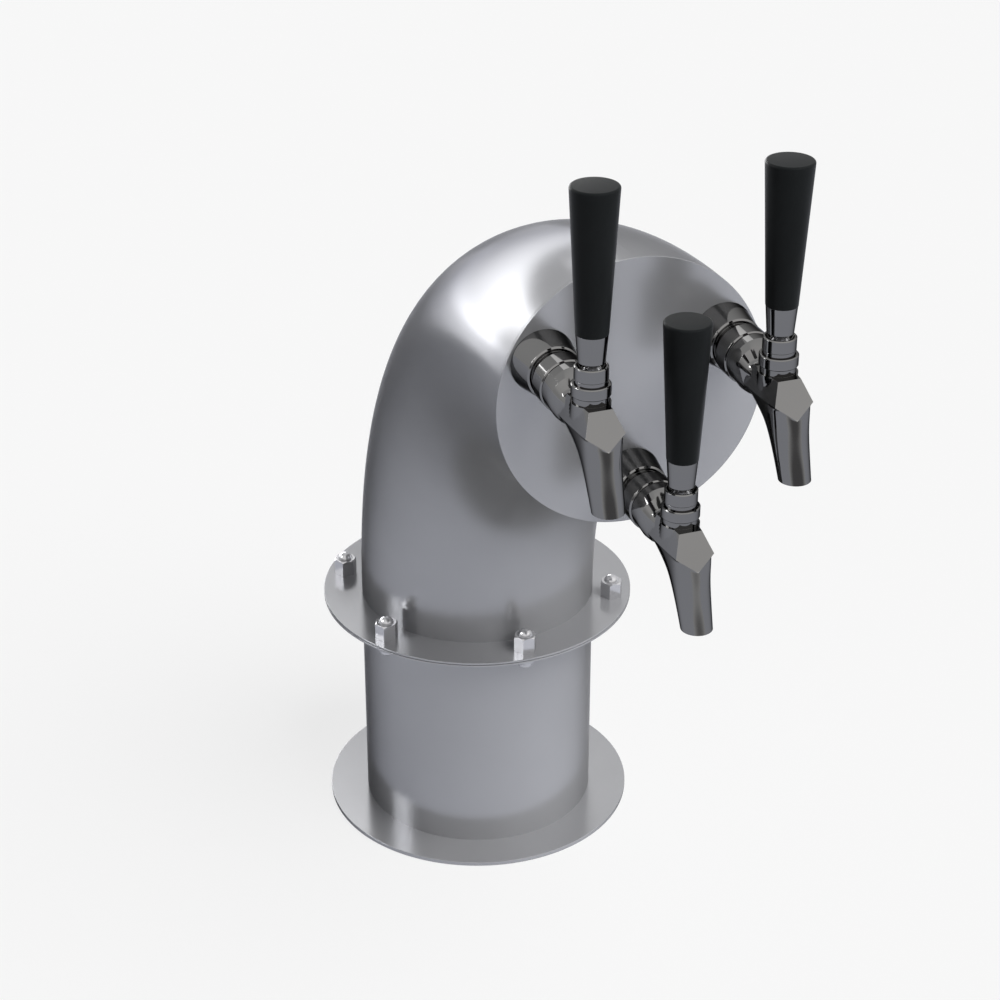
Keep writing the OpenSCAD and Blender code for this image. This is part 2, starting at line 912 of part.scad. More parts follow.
module handle() {
  hole_r = spigot_r + thread_fit;
  hole_z = handle_z + spigot_len + end_gap;
  edge = 0.3;
  color(black)
    stacked(concat(
      [
        [hole_r, handle_z],
        [handle_low_r - edge, handle_z],
        [handle_low_r, handle_z + edge]
      ],
      arc([handle_top_r - handle_edge_r, handle_top_z - handle_edge_r], handle_edge_r, 0, 90, 8),
      [
        [0, handle_top_z],
        [0, hole_z],
        [hole_r, hole_z]
      ]
    ));
}

// Valve

module valve_plunger() {
  flute_half = plunger_r - 1;
  flute_land = 2.5;
  nose = 1;
  deck_half = slot_half + 2.5;
  slot_width = 2 * (lever_tip_r + slot_side_play);
  color(bright_steel)
    difference() {
      union() {
        forward_rod(plunger_r, plunger_back_s, plunger_head_s, -chamber_drop);
        forward_rod(seal_bore_r - seal_fit, plunger_head_s - nose, seat_s + nose, -chamber_drop);
      }
      // Slot for the lever's tip, and the flat that its rod swings over
      translate([-slot_width / 2, -handle_s - slot_half, tip_z - lever_tip_r - slot_play])
        cube([slot_width, 2 * slot_half, chamber_r * 3]);
      translate([-chamber_r, -handle_s - deck_half, slot_deck_z])
        cube([2 * chamber_r, 2 * deck_half, chamber_r]);
      // Flats along both sides, past which the beer flows
      for (side = [-1, 1])
        translate([side * (flute_half + chamber_r / 2), -(plunger_back_s + plunger_head_s) / 2, -chamber_drop])
          cube([chamber_r, plunger_head_s - plunger_back_s - 2 * flute_land, 2 * chamber_r], center = true);
    }
}

module plunger_seal() {
  rim_r = plunger_r - 0.4;
  color(rubber_black)
    translate([0, 0, -chamber_drop])
      turned([
        [seal_bore_r, plunger_head_s],
        [rim_r, plunger_head_s],
        [rim_r, plunger_head_s + plunger_seal_t],
        [seal_bore_r, plunger_head_s + plunger_seal_t]
      ]);
}

// Tailpiece and beer line

// Barb outline as [radius, distance] points, with three ridges that grip a hose
barb_step = 0.4;
barb_slope_share = 0.4;
barb_chamfer = 0.6;
function barb_points(start, length) = [
  for (i = [0:2], end = [0, 1])
    [barb_r - end * barb_step, start + length * (3 * i + 2 + end * barb_slope_share) / 9]
];

module tailpiece() {
  flange_r = shank_r - 0.4;
  color(bright_steel)
    turned_back(concat(
      [
        [barb_bore_r, tail_flange_d],
        [flange_r, tail_flange_d],
        [flange_r, tail_wall_d],
        [tail_body_r, tail_wall_d],
        [tail_body_r, barb_d],
        [barb_r, barb_d]
      ],
      barb_points(barb_d, barb_len),
      [[barb_r - barb_chamfer, barb_d + barb_len], [barb_bore_r, barb_d + barb_len]]
    ));
}

module tail_washers() {
  inner_r = passage_r - 1;
  outer_r = shank_r - 0.6;
  color(rubber_black)
    for (tap = TAPS)
      at_tap(tap)
        turned_back([
          [inner_r, shank_end_d],
          [outer_r, shank_end_d],
          [outer_r, tail_flange_d],
          [inner_r, tail_flange_d]
        ]);
}

module tail_nuts() {
  color(bright_steel)
    for (tap = TAPS)
      at_tap(tap)
        translate([0, tail_nut_d, 0])
          rotate([-90, 0, 0])
            difference() {
              hexagon_prism(tail_nut_af, tail_nut_end_d - tail_nut_d);
              translate([0, 0, -over])
                cylinder(r = shank_r + thread_fit, h = tail_wall_d - tail_nut_d + over);
              translate([0, 0, -over])
                cylinder(r = tail_body_r + thread_fit, h = tail_nut_end_d - tail_nut_d + 2 * over);
            }
}

// A line's run for one tap: straight back, a quarter turn, then straight down
function line_bend_r(tap) = tap[3] - (plate_front_y + line_run);

module line_run_solid(tap, r, start_d, end_z) {
  bend = line_bend_r(tap);
  turn_y = plate_front_y + line_run;
  translate([tap[1], plate_front_y + start_d, tap[2]])
    rotate([-90, 0, 0])
      cylinder(r = r, h = line_run - start_d);
  translate([tap[1], turn_y, tap[2] - bend])
    rotate([90, 0, 90])
      rotate_extrude(angle = 90)
        translate([bend, 0])
          circle(r = r);
  translate([tap[1], tap[3], end_z])
    cylinder(r = r, h = tap[2] - bend - end_z);
}

module beer_line(tap) {
  grip_r = barb_r + thread_fit;
  color(clear_vinyl)
    difference() {
      line_run_solid(tap, line_r, line_d, line_end_z);
      line_run_solid(tap, line_bore_r, line_d - over, line_end_z - over);
      // Ends stretched over the barbs
      translate([tap[1], plate_front_y + line_d - over, tap[2]])
        rotate([-90, 0, 0])
          cylinder(r = grip_r, h = barb_len + over);
      translate([tap[1], tap[3], line_end_z - over])
        cylinder(r = grip_r, h = barb_len + over);
    }
}

// Fitting at the lower end of a line: a barb up into the line, a collar and a plain stub below
module line_fittings() {
  collar_t = 2;
  stub_edge = 0.8;
  color(bright_steel)
    for (tap = TAPS)
      translate([tap[1], tap[3], line_end_z])
        rotate_extrude()
          polygon(concat(
            [
              [barb_bore_r, -collar_t - stub_len],
              [barb_r - barb_step, -collar_t - stub_len],
              [barb_r, -collar_t - stub_len + stub_edge],
              [barb_r, -collar_t],
              [line_r, -collar_t],
              [line_r, 0],
              [barb_r, 0]
            ],
            barb_points(0, barb_len - hose_gap),
            [[barb_r - barb_chamfer, barb_len - hose_gap], [barb_bore_r, barb_len - hose_gap]]
          ));
}

// Band clamp about z, starting at z = 0, with its pinched ear at +X
module hose_clamp() {
  inner = line_r + thread_fit;
  difference() {
    union() {
      cylinder(r = inner + clamp_t, h = clamp_w);
      translate([inner, -clamp_ear_half, 0])
        cube([clamp_t + clamp_ear, 2 * clamp_ear_half, clamp_w]);
    }
    translate([0, 0, -over])
      cylinder(r = inner, h = clamp_w + 2 * over);
  }
}

module hose_clamps() {
  color(bright_steel)
    for (tap = TAPS) {
      translate([tap[1], plate_front_y + line_d + clamp_in, tap[2]])
        rotate([-90, 90, 0])
          hose_clamp();
      translate([tap[1], tap[3], line_end_z + clamp_in])
        rotate([0, 0, 90])
          hose_clamp();
    }
}

base_flange();
riser_tube();
riser_top_flange();
flange_gasket();
elbow_flange();
elbow_shell();
face_plate();
flange_studs();
acorn_nuts();
jam_nuts();
shank_washers();
shank_locknuts();
inlet_washers();
pivot_seals();
tail_washers();
tail_nuts();
hose_clamps();
line_fittings();

for (tap = TAPS) {
  at_tap(tap) collar();
  at_tap(tap) shank();
  at_tap(tap) coupling_nut();
  at_tap(tap) faucet_body();
  at_tap(tap) bonnet();
  at_tap(tap) lever_cap();
  at_tap(tap) lever();
  at_tap(tap) ferrule();
  at_tap(tap) handle();
  at_tap(tap) valve_plunger();
  at_tap(tap) plunger_seal();
  at_tap(tap) tailpiece();
  beer_line(tap);
}
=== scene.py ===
"""Looks of the draft beer tower: finishes, dressed pieces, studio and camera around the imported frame."""

import logging
import math
from dataclasses import dataclass
from enum import Enum

import bmesh
import bpy
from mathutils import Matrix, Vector


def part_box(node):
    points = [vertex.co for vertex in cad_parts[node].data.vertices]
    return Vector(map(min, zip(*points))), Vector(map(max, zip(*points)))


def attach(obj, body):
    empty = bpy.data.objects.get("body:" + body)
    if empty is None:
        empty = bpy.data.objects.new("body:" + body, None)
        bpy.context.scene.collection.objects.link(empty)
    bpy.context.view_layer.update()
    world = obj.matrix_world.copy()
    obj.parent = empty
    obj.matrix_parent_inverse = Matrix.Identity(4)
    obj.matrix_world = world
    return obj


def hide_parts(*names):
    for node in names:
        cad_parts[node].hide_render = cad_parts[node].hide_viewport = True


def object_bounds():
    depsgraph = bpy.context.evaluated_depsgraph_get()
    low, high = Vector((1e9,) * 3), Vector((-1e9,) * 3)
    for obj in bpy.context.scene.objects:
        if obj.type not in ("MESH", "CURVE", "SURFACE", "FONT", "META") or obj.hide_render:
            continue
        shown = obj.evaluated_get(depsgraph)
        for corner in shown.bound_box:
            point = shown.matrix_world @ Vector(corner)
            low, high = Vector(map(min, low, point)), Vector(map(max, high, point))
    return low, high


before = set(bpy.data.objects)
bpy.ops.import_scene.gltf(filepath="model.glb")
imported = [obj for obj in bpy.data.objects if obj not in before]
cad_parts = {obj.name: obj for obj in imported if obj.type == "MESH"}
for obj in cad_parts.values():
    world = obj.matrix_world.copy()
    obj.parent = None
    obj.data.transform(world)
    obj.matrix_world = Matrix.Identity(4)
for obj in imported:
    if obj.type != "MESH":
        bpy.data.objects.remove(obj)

CAD_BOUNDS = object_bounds()
MM = 0.001

logging.basicConfig(level=logging.INFO, format="%(message)s")
log = logging.getLogger("beer_tower")

Colour = tuple[float, float, float]
Point = tuple[float, float, float]
Span = tuple[float, float]


class TapName(Enum):
    """The three taps, by the prefix of their nodes."""

    LEFT = "left"
    RIGHT = "right"
    LOWER = "lower"

    def node(self, piece: str) -> str:
        """Name of this tap's node for a piece."""
        return f"{self.value}_{piece}"


class Signal:
    """A float in a shader graph. Python operators on it add Math nodes."""

    def __init__(self, graph: "Graph", socket: bpy.types.NodeSocket) -> None:
        """Wrap an output socket of a graph."""
        self.graph = graph
        self.socket = socket

    def _math(self, operation: str, *values: "Signal | float") -> "Signal":
        """Add a Math node.

        Args:
            operation: The node's operation.
            values: Its inputs, in order.

        Returns:
            Its output.
        """
        node = self.graph.add("ShaderNodeMath", {"operation": operation})
        for place, value in zip(node.inputs, values):
            self.graph.feed(place, value)
        return Signal(self.graph, node.outputs[0])

    def __add__(self, other: "Signal | float") -> "Signal":
        """This plus the other."""
        return self._math("ADD", self, other)

    def __radd__(self, other: float) -> "Signal":
        """A number plus this."""
        return self._math("ADD", other, self)

    def __sub__(self, other: "Signal | float") -> "Signal":
        """This less the other."""
        return self._math("SUBTRACT", self, other)

    def __rsub__(self, other: float) -> "Signal":
        """A number less this."""
        return self._math("SUBTRACT", other, self)

    def __mul__(self, other: "Signal | float") -> "Signal":
        """This times the other."""
        return self._math("MULTIPLY", self, other)

    def __rmul__(self, other: float) -> "Signal":
        """A number times this."""
        return self._math("MULTIPLY", other, self)

    def maximum(self, other: "Signal | float") -> "Signal":
        """The larger of the two."""
        return self._math("MAXIMUM", self, other)

    def within(self, low: float, high: float) -> "Signal":
        """Where the value lies between two ends.

        Args:
            low: The value that gives 0.
            high: The value that gives 1.

        Returns:
            A value from 0 to 1.
        """
        ends = {"Value": self, "From Min": low, "From Max": high}
        node = self.graph.add("ShaderNodeMapRange", {"clamp": True}, ends)
        return Signal(self.graph, node.outputs["Result"])


class Graph:
    """A node tree with short ways to add and join nodes."""

    def __init__(self, tree: bpy.types.NodeTree) -> None:
        """Start with an empty tree."""
        self.tree = tree
        tree.nodes.clear()

    def feed(self, place: bpy.types.NodeSocket, value: object) -> None:
        """Give an input its value, or link it where the value is an output.

        Args:
            place: The input socket.
            value: A number, a colour, a socket or a Signal.
        """
        if isinstance(value, Signal):
            value = value.socket
        if isinstance(value, bpy.types.NodeSocket):
            self.tree.links.new(value, place)
        elif isinstance(value, tuple) and place.type == "RGBA":
            place.default_value = (*value, 1.0)
        else:
            place.default_value = value

    def add(self, kind: str, settings: dict | None = None, inputs: dict | None = None) -> bpy.types.Node:
        """Add a node.

        Args:
            kind: The node's type name.
            settings: Properties of the node.
            inputs: Values or links of its inputs, by socket name.

        Returns:
            The new node.
        """
        node = self.tree.nodes.new(kind)
        for name, value in (settings or {}).items():
            setattr(node, name, value)
        for name, value in (inputs or {}).items():
            self.feed(node.inputs[name], value)
        return node

    def place(self) -> bpy.types.NodeSocket:
        """The point on the object, in metres."""
        return self.add("ShaderNodeTexCoord").outputs["Object"]

    def stretched(self, scale: Point) -> bpy.types.NodeSocket:
        """The point on the object, scaled along each axis."""
        return self.add("ShaderNodeMapping", None, {"Vector": self.place(), "Scale": scale}).outputs["Vector"]

    def noise(self, vector: bpy.types.NodeSocket, scale: float, detail: float) -> Signal:
        """Soft noise from 0 to 1, about 0.5 on average."""
        node = self.add("ShaderNodeTexNoise", None, {"Vector": vector, "Scale": scale, "Detail": detail})
        return Signal(self, node.outputs["Fac"])

    def blend(self, factor: Signal, low: object, high: object) -> bpy.types.NodeSocket:
        """Mix two colours.

        Args:
            factor: How far the mix goes from low to high.
            low: The colour at 0.
            high: The colour at 1.

        Returns:
            The mixed colour.
        """
        node = self.add("ShaderNodeMix", {"data_type": "RGBA"})
        self.feed(node.inputs[0], factor)
        self.feed(node.inputs[6], low)
        self.feed(node.inputs[7], high)
        return node.outputs[2]

    def mix(self, factor: Signal, low: bpy.types.Node, high: bpy.types.Node) -> bpy.types.Node:
        """Mix two shaders.

        Args:
            factor: How far the mix goes from low to high.
            low: The shader's node at 0.
            high: The shader's node at 1.

        Returns:
            The mixing node.
        """
        node = self.add("ShaderNodeMixShader")
        for place, value in zip(node.inputs, (factor, low.outputs[0], high.outputs[0])):
            self.feed(place, value)
        return node

    def bump(self, height: Signal, depth: float) -> bpy.types.NodeSocket:
        """Surface normal from a height of 0 to 1 over a depth in metres."""
        return self.add("ShaderNodeBump", None, {"Height": height, "Distance": depth}).outputs["Normal"]

    def ray(self, kind: str) -> Signal:
        """1 for rays of one kind and 0 for all others."""
        return Signal(self, self.add("ShaderNodeLightPath").outputs[kind])

    def seen(self) -> Signal:
        """1 for what the camera sees, straight, in metal or through glass, and 0 for light on the object."""
        direct = self.ray("Is Camera Ray")
        return direct.maximum(self.ray("Is Glossy Ray")).maximum(self.ray("Is Transmission Ray"))

    def edge(self, radius: float) -> Signal:
        """How near a sharp edge the point lies.

        Args:
            radius: Width of the edge, in metres.

        Returns:
            0 on open faces and towards 1 at edges.
        """
        least, full = 0.01, 0.25
        bevel = self.add("ShaderNodeBevel", {"samples": 6}, {"Radius": radius})
        turn = self.add("ShaderNodeVectorMath", {"operation": "DOT_PRODUCT"})
        self.feed(turn.inputs[0], bevel.outputs["Normal"])
        self.feed(turn.inputs[1], self.add("ShaderNodeNewGeometry").outputs["Normal"])
        return (1.0 - Signal(self, turn.outputs["Value"])).within(least, full)

    def surface(self, inputs: dict) -> None:
        """Make a Principled shader with these inputs the surface."""
        self.show(self.add("ShaderNodeBsdfPrincipled", None, inputs))

    def show(self, shader: bpy.types.Node, kind: str = "ShaderNodeOutputMaterial") -> None:
        """Join a shader to an output node of a kind."""
        self.add(kind, None, {"Surface": shader.outputs[0]})


def new_material(name: str) -> tuple[bpy.types.Material, Graph]:
    """Make an empty node material.

    Args:
        name: Its name.

    Returns:
        The material and its graph.
    """
    material = bpy.data.materials.new(name)
    material.use_nodes = True
    return material, Graph(material.node_tree)


@dataclass(frozen=True)
class MetalFinish:
    """A bare or plated metal.

    Args:
        name: Name of the material.
        colour: Reflectance when seen face on.
        rim: Tint of the reflection at grazing angles.
        roughness: Mean roughness.
        smudge: How far handling and polishing vary the roughness.
        grain: Depth of the finest grain, in metres.
        grain_scale: Grains per metre.
        grain_run: Scale of the grain along X, Y and Z.
        bright_edges: How much worn edges lighten.
        metallic: Share of plain reflection, where the rest is the soft scatter of a brushed surface.
        cloud_scale: Clouds of uneven polish per metre.
        cloud_span: Cloud values between which the tone goes from dull to full.
        dullness: Share of the colour that is left in dull clouds.
        edge_width: Width of the worn edges, in metres.
        edge_polish: Share of the roughness that wear takes off edges.
    """

    name: str
    colour: Colour
    rim: Colour
    roughness: float
    smudge: float
    grain: float
    grain_scale: float
    grain_run: Point = (1.0, 1.0, 1.0)
    bright_edges: float = 0.0
    metallic: float = 1.0
    cloud_scale: float = 9.0
    cloud_span: Span = (0.3, 0.7)
    dullness: float = 0.93
    edge_width: float = 0.4 * MM
    edge_polish: float = 0.3

    def build(self) -> bpy.types.Material:
        """Make the material.

        Returns:
            The material.
        """
        material, graph = new_material(self.name)
        cloud = graph.noise(graph.place(), self.cloud_scale, 3.0)
        fine = graph.noise(graph.stretched(self.grain_run), self.grain_scale, 4.0)
        edge = graph.edge(self.edge_width)
        rough = self.roughness + (cloud - 0.5) * self.smudge + (fine - 0.5) * self.smudge
        dull = tuple(self.dullness * c for c in self.colour)
        worn = tuple(min(1.0, c * (1.0 + self.bright_edges)) for c in self.colour)
        tone = graph.blend(cloud.within(*self.cloud_span), dull, self.colour)
        graph.surface(
            {
                "Base Color": graph.blend(edge, tone, worn),
                "Metallic": self.metallic,
                "Roughness": rough - edge * self.edge_polish * self.roughness,
                "Specular Tint": self.rim,
                "Specular IOR Level": 0.0,
                "Normal": graph.bump(fine, self.grain),
            }
        )
        return material


@dataclass(frozen=True)
class MouldedFinish:
    """A moulded plastic or rubber.

    Args:
        name: Name of the material.
        colour: Colour of the plain surface.
        rubbed: Colour where the edges are rubbed.
        roughness: Mean roughness.
        shine: Strength of the reflection.
        texture: Depth of the moulded texture, in metres.
        clearness: Share of light that passes through.
        cloud_scale: Clouds of uneven tone per metre.
        cloud_span: Cloud values between which the tone goes from plain to pale.
        cloud_rough: How far the clouds vary the roughness.
        paleness: Brightness of pale clouds against the plain colour.
        pebble_scale: Pebbles of the texture per metre.
        edge_width: Width of the rubbed edges, in metres.
        edge_rub: Share of the rubbed colour at edges.
        edge_polish: Roughness that rubbing takes off edges.
    """

    name: str
    colour: Colour
    rubbed: Colour
    roughness: float
    shine: float
    texture: float
    clearness: float = 0.0
    cloud_scale: float = 35.0
    cloud_span: Span = (0.35, 0.7)
    cloud_rough: float = 0.2
    paleness: float = 1.25
    pebble_scale: float = 1800.0
    edge_width: float = 0.6 * MM
    edge_rub: float = 0.6
    edge_polish: float = 0.08

    def build(self) -> bpy.types.Material:
        """Make the material.

        Returns:
            The material.
        """
        material, graph = new_material(self.name)
        cloud = graph.noise(graph.place(), self.cloud_scale, 3.0)
        pebble = graph.noise(graph.place(), self.pebble_scale, 3.0)
        edge = graph.edge(self.edge_width)
        pale = tuple(self.paleness * c for c in self.colour)
        tone = graph.blend(cloud.within(*self.cloud_span), self.colour, pale)
        graph.surface(
            {
                "Base Color": graph.blend(edge * self.edge_rub, tone, self.rubbed),
                "Roughness": self.roughness + (cloud - 0.5) * self.cloud_rough - edge * self.edge_polish,
                "Specular IOR Level": self.shine,
                "Transmission Weight": self.clearness,
                "Normal": graph.bump(pebble, self.texture),
            }
        )
        return material


FINISHES = (
    MetalFinish(
        name="satin_steel",
        colour=(0.388, 0.391, 0.403),
        rim=(0.12, 0.12, 0.125),
        roughness=0.2,
        smudge=0.03,
        grain=0.004 * MM,
        grain_scale=900.0,
        grain_run=(1.0, 1.0, 0.25),
        bright_edges=0.3,
        metallic=0.56,
    ),
    MetalFinish(
        name="bright_steel",
        colour=(0.52, 0.52, 0.535),
        rim=(0.6, 0.6, 0.6),
        roughness=0.16,
        smudge=0.05,
        grain=0.006 * MM,
        grain_scale=1400.0,
        bright_edges=0.3,
        metallic=0.7,
    ),
    MetalFinish(
        name="chrome_plate",
        colour=(0.178, 0.177, 0.176),
        rim=(0.2, 0.2, 0.2),
        roughness=0.07,
        smudge=0.04,
        grain=0.003 * MM,
        grain_scale=1200.0,
        bright_edges=0.35,
    ),
    MouldedFinish(
        name="black_handle",
        colour=(0.008, 0.009, 0.0095),
        rubbed=(0.06, 0.062, 0.064),
        roughness=0.42,
        shine=0.05,
        texture=0.02 * MM,
    ),
    MouldedFinish(
        name="seal_rubber",
        colour=(0.02, 0.02, 0.02),
        rubbed=(0.05, 0.05, 0.05),
        roughness=0.7,
        shine=0.3,
        texture=0.03 * MM,
    ),
    MouldedFinish(
        name="line_vinyl",
        colour=(0.7, 0.73, 0.68),
        rubbed=(0.75, 0.76, 0.73),
        roughness=0.22,
        shine=0.5,
        texture=0.01 * MM,
        clearness=0.6,
    ),
)


def round_edges(piece: bpy.types.Object, width: float, turn: float) -> None:
    """Round a piece's edges that turn by more than an angle.

    Args:
        piece: The piece.
        width: Width of the rounding, in metres.
        turn: The angle, in degrees.
    """
    bevel = piece.modifiers.new("edges", "BEVEL")
    bevel.width = width
    bevel.segments = 2
    bevel.limit_method = "ANGLE"
    bevel.angle_limit = math.radians(turn)
    bevel.harden_normals = True
    bevel.use_clamp_overlap = True


def place_object(name: str, data: bpy.types.ID) -> bpy.types.Object:
    """Put a mesh, lamp or camera in the scene.

    Args:
        name: Name of its object.
        data: The mesh, lamp or camera.

    Returns:
        The object.
    """
    piece = bpy.data.objects.new(name, data)
    bpy.context.scene.collection.objects.link(piece)
    return piece


def applied(piece: bpy.types.Object) -> bpy.types.Mesh:
    """A piece's mesh with its modifiers applied."""
    return bpy.data.meshes.new_from_object(piece.evaluated_get(bpy.context.evaluated_depsgraph_get()))


@dataclass
class NodeDresser:
    """Gives CAD nodes rounded edges, smooth shading and their finish.

    Args:
        materials: Built materials by slot name.
        turn: Least turn of an edge that gets rounded, in degrees.
        weld: Distance within which points are joined, in metres.
    """

    materials: dict[str, bpy.types.Material]
    turn: float = 24.0
    weld: float = 0.001 * MM

    def dress(self, name: str, edge: float) -> None:
        """Dress one node in the finish that it came with.

        Args:
            name: The CAD node.
            edge: Width of its rounded edges, in metres. With 0 it keeps its own edges and normals.
        """
        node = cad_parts[name]
        mesh = node.data
        slot = mesh.materials[0].name
        for place in range(len(mesh.materials)):
            mesh.materials[place] = self.materials[slot]
        log.info("dressed %s as %s", name, slot)
        if not edge:
            return
        for layer in ("custom_normal", "sharp_edge", "sharp_face"):
            if layer in mesh.attributes:
                mesh.attributes.remove(mesh.attributes[layer])
        mesh.shade_smooth()
        weld = node.modifiers.new("weld", "WELD")
        weld.merge_threshold = self.weld
        round_edges(node, edge, self.turn)


@dataclass
class Column:
    """The pipe column, its elbow, flanges and face plate.

    Args:
        dresser: Dresses the CAD nodes.
        edge: Width of the rounded edges of the flanges and plate, in metres.
    """

    dresser: NodeDresser
    edge: float = 0.3 * MM

    def build(self) -> None:
        """Dress the column's nodes."""
        for name in ("base_flange", "riser_top_flange", "elbow_flange", "face_plate"):
            self.dresser.dress(name, self.edge)
        for name in ("riser_tube", "elbow_shell", "flange_gasket"):
            self.dresser.dress(name, 0.0)


@dataclass
class Fasteners:
    """Studs and nuts of the joint, and the small rings and fittings that the taps share.

    Args:
        dresser: Dresses the CAD nodes.
        edge: Width of the fasteners' rounded edges, in metres.
        ring_edge: Width of the rings' and fittings' rounded edges, in metres.
    """

    dresser: NodeDresser
    edge: float = 0.25 * MM
    ring_edge: float = 0.125 * MM

    def build(self) -> None:
        """Dress the fasteners, rings and fittings."""
        for name in ("flange_studs", "acorn_nuts", "jam_nuts", "shank_washers", "shank_locknuts", "tail_nuts"):
            self.dresser.dress(name, self.edge)
        for name in ("hose_clamps", "line_fittings", "inlet_washers", "pivot_seals", "tail_washers"):
            self.dresser.dress(name, self.ring_edge)


class Shape:
    """Points and faces in a tap's own frame, in millimetres: x, s forward from the plate, z from the shank's axis."""

    def __init__(self) -> None:
        """Start with no points and no faces."""
        self.points: list[Point] = []
        self.faces: list[list[int]] = []

    def ring(self, points: list[Point]) -> list[int]:
        """Add a ring of points.

        Args:
            points: The points, in order.

        Returns:
            Their indices.
        """
        start = len(self.points)
        self.points.extend(points)
        return list(range(start, len(self.points)))

    def strip(self, low: list[int], high: list[int]) -> None:
        """Join two closed rings with quads.

        Args:
            low: Indices of the first ring.
            high: Indices of the second ring, as many.
        """
        count = len(low)
        for i in range(count):
            j = (i + 1) % count
            self.faces.append([low[i], low[j], high[j], high[i]])

    def loft(self, rings: list[list[Point]]) -> None:
        """Join rings in order and close both ends.

        Args:
            rings: The rings, with as many points each.
        """
        placed = [self.ring(points) for points in rings]
        for low, high in zip(placed, placed[1:]):
            self.strip(low, high)
        self.faces.append(placed[0][::-1])
        self.faces.append(placed[-1])

    def take(self, mesh: bpy.types.Mesh) -> None:
        """Add the points and faces of a mesh.

        Args:
            mesh: A mesh in the tap's own frame.
        """
        start = len(self.points)
        self.points.extend(tuple(vertex.co) for vertex in mesh.vertices)
        self.faces.extend([start + index for index in face.vertices] for face in mesh.polygons)

    def to_mesh(self, name: str, origin: Vector) -> bpy.types.Mesh:
        """Make a mesh in the shared frame with its normals outward.

        Args:
            name: Name of the mesh.
            origin: Where the tap's own frame starts, in metres.

        Returns:
            The mesh.
        """
        mesh = bpy.data.meshes.new(name)
        mesh.from_pydata([origin + MM * Vector((x, -s, z)) for x, s, z in self.points], [], self.faces)
        work = bmesh.new()
        work.from_mesh(mesh)
        bmesh.ops.recalc_face_normals(work, faces=work.faces)
        work.to_mesh(mesh)
        work.free()
        return mesh


@dataclass(frozen=True)
class Slice:
    """A level cut through the spout, in millimetres.

    Args:
        z: Height of the cut.
        wide: Half of its width.
        middle: Where it is widest.
        front: Its foremost point.
        back: Its rearmost point.
    """

    z: float
    wide: float
    middle: float
    front: float
    back: float

    def half(self, swell: float) -> list[Point]:
        """Seven points from the front round one side to the back.

        Args:
            swell: Growth about the middle, which makes up for the smoothing of the cage.

        Returns:
            The points.
        """
        points = []
        for step in range(7):
            turn = math.radians(30.0 * step)
            reach = self.front - self.middle if step < 3 else self.middle - self.back
            across = swell * self.wide * math.sin(turn)
            points.append((across, self.middle + swell * reach * math.cos(turn), self.z))
        return points


@dataclass(frozen=True)
class Cut:
    """An upright cut through the barrel or chest, in millimetres.

    Args:
        s: Distance from the plate.
        half: Half of its width.
        top: Height of its top.
        bottom: Height of its bottom.
        square: 1 for round, towards 0 for square.
        steps: Number of its points.
    """

    s: float
    half: float
    top: float
    bottom: float
    square: float = 1.0
    steps: int = 72

    def outline(self) -> list[Point]:
        """The points round the cut.

        Returns:
            The points, in order.
        """
        points = []
        for step in range(self.steps):
            turn = math.tau * step / self.steps
            across, up = math.cos(turn), math.sin(turn)
            x = math.copysign(abs(across) ** self.square, across) * self.half
            z = math.copysign(abs(up) ** self.square, up)
            points.append((x, self.s, (self.top + self.bottom) / 2 + z * (self.top - self.bottom) / 2))
        return points


def toward(start: list[Point], end: list[Point], share: float) -> list[Point]:
    """Points that lie a share of the way from one list's points to the other's."""
    return [tuple(a + (b - a) * share for a, b in zip(p, q)) for p, q in zip(start, end)]


